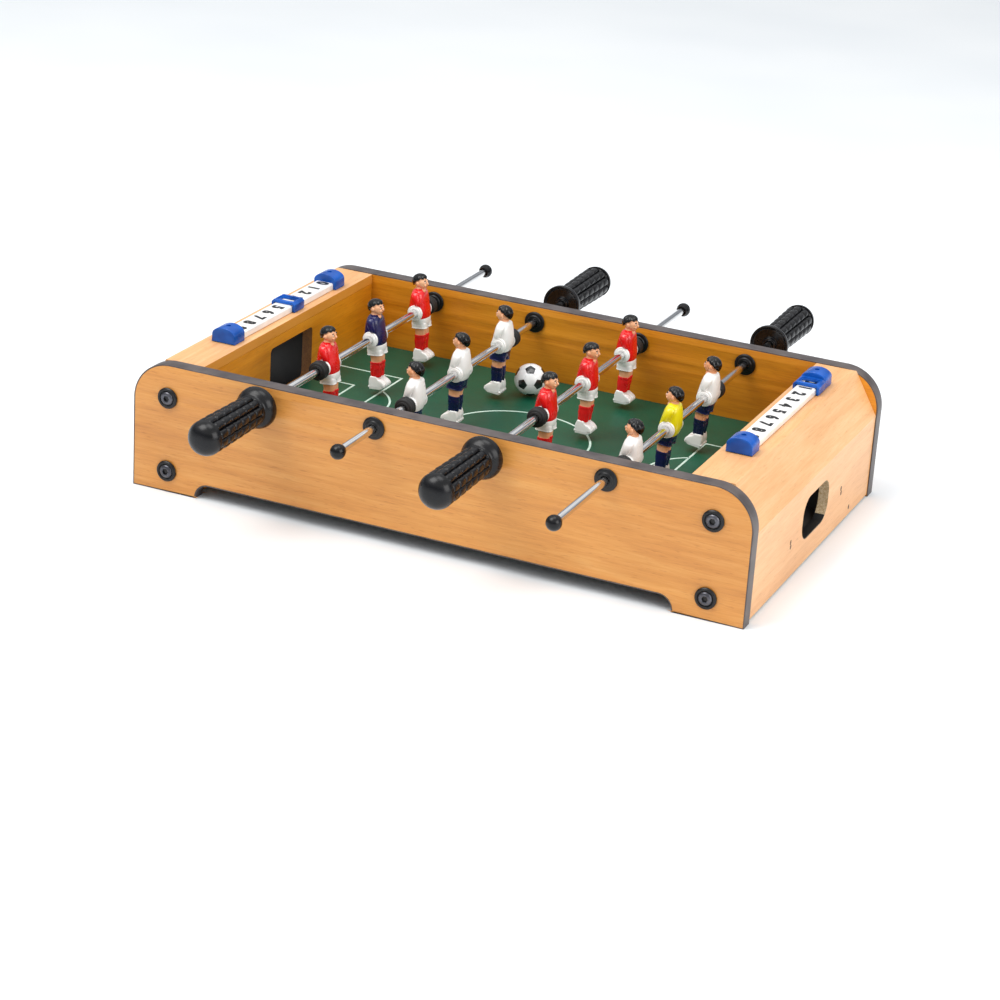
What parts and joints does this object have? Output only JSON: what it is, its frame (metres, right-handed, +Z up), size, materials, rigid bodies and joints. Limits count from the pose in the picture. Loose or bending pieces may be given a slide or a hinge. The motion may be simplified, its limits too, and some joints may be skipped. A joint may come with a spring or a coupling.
{
  "type": "tabletop foosball table",
  "caption": "Tabletop foosball table: a wood-grain box with a green pitch, rods that slide and spin with toy footballers, grooved handles, score sliders and a ball chute behind each goal.",
  "frame": {"origin": "on the ground, at the middle of the whole object's footprint, rods and handles included", "axes": "+X along the table's length towards the right goal, +Y across the table along the rods towards the rear side panel, +Z up"},
  "size_m": [0.51, 0.5472, 0.1236],
  "materials": {
    "laminate": "printed wood grain, satin",
    "edge_band": "grey-brown edge band, satin",
    "field_board": "printed green, matt",
    "black_plastic": "moulded, semi-gloss",
    "black_rubber": "matt",
    "chromed_steel": "polished tube",
    "red_plastic": "moulded, glossy",
    "navy_plastic": "moulded, glossy",
    "white_plastic": "moulded, glossy",
    "yellow_plastic": "moulded, glossy",
    "blue_plastic": "moulded, glossy",
    "skin_paint": "painted, satin",
    "black_paint": "painted, glossy"
  },
  "bodies": {
    "table": {"front_side_panel": "laminate", "rear_side_panel": "laminate", "playfield": "field_board", "left_goal_wall": "laminate", "left_end_cover": "laminate", "left_goal_cup": "black_plastic", "right_goal_wall": "laminate", "right_end_cover": "laminate", "right_goal_cup": "black_plastic", "front_left_bolt_pair": "black_plastic", "front_right_bolt_pair": "black_plastic", "rear_left_bolt_pair": "black_plastic", "rear_right_bolt_pair": "black_plastic", "left_score_bar": "white_plastic", "right_score_bar": "white_plastic", "rod_1_bushing_front": "black_plastic", "rod_1_bushing_rear": "black_plastic", "rod_2_bushing_front": "black_plastic", "rod_2_bushing_rear": "black_plastic", "rod_3_bushing_front": "black_plastic", "rod_3_bushing_rear": "black_plastic", "rod_4_bushing_front": "black_plastic", "rod_4_bushing_rear": "black_plastic"},
    "rod_1_carriage": {"rod_1_end_cap": "black_plastic"},
    "rod_1_assembly": {"rod_1": "chromed_steel", "rod_1_handle": "black_plastic", "rod_1_player_front": "red_plastic", "rod_1_player_middle": "navy_plastic", "rod_1_player_rear": "red_plastic", "rod_1_bumper_front": "black_rubber", "rod_1_bumper_rear": "black_rubber"},
    "rod_2_carriage": {"rod_2_end_cap": "black_plastic"},
    "rod_2_assembly": {"rod_2": "chromed_steel", "rod_2_handle": "black_plastic", "rod_2_player_front": "white_plastic", "rod_2_player_middle": "white_plastic", "rod_2_player_rear": "white_plastic", "rod_2_bumper_front": "black_rubber", "rod_2_bumper_rear": "black_rubber"},
    "rod_3_carriage": {"rod_3_end_cap": "black_plastic"},
    "rod_3_assembly": {"rod_3": "chromed_steel", "rod_3_handle": "black_plastic", "rod_3_player_front": "red_plastic", "rod_3_player_middle": "red_plastic", "rod_3_player_rear": "red_plastic", "rod_3_bumper_front": "black_rubber", "rod_3_bumper_rear": "black_rubber"},
    "rod_4_carriage": {"rod_4_end_cap": "black_plastic"},
    "rod_4_assembly": {"rod_4": "chromed_steel", "rod_4_handle": "black_plastic", "rod_4_player_front": "white_plastic", "rod_4_player_middle": "yellow_plastic", "rod_4_player_rear": "white_plastic", "rod_4_bumper_front": "black_rubber", "rod_4_bumper_rear": "black_rubber"},
    "left_score_slider": {"left_score_slider": "blue_plastic"},
    "right_score_slider": {"right_score_slider": "blue_plastic"},
    "ball": {"ball": "white_plastic"}
  },
  "joints": [
    {"name": "rod_1_slide", "type": "slide", "parent": "table", "child": "rod_1_carriage", "axis": [0, 1, 0], "range_m": [-0.0685, 0.0045]},
    {"name": "rod_1_spin", "type": "hinge", "parent": "rod_1_carriage", "child": "rod_1_assembly", "pos_m": [-0.1407, 0, 0.091], "axis": [0, 1, 0], "continuous": true},
    {"name": "rod_2_slide", "type": "slide", "parent": "table", "child": "rod_2_carriage", "axis": [0, 1, 0], "range_m": [-0.032, 0.041]},
    {"name": "rod_2_spin", "type": "hinge", "parent": "rod_2_carriage", "child": "rod_2_assembly", "pos_m": [-0.0469, 0, 0.091], "axis": [0, 1, 0], "continuous": true},
    {"name": "rod_3_slide", "type": "slide", "parent": "table", "child": "rod_3_carriage", "axis": [0, 1, 0], "range_m": [-0.0695, 0.0035]},
    {"name": "rod_3_spin", "type": "hinge", "parent": "rod_3_carriage", "child": "rod_3_assembly", "pos_m": [0.0469, 0, 0.091], "axis": [0, 1, 0], "continuous": true},
    {"name": "rod_4_slide", "type": "slide", "parent": "table", "child": "rod_4_carriage", "axis": [0, 1, 0], "range_m": [-0.0105, 0.0625]},
    {"name": "rod_4_spin", "type": "hinge", "parent": "rod_4_carriage", "child": "rod_4_assembly", "pos_m": [0.1407, 0, 0.091], "axis": [0, 1, 0], "continuous": true},
    {"name": "left_score_slide", "type": "slide", "parent": "table", "child": "left_score_slider", "axis": [0, 1, 0], "range_m": [-0.0805, 0.055]},
    {"name": "right_score_slide", "type": "slide", "parent": "table", "child": "right_score_slider", "axis": [0, 1, 0], "range_m": [-0.1355, 0]},
    {"name": "ball_lift", "type": "slide", "parent": "table", "child": "ball", "axis": [0.3499, 0, 0.9368], "range_m": [0, 0.12]}
  ]
}
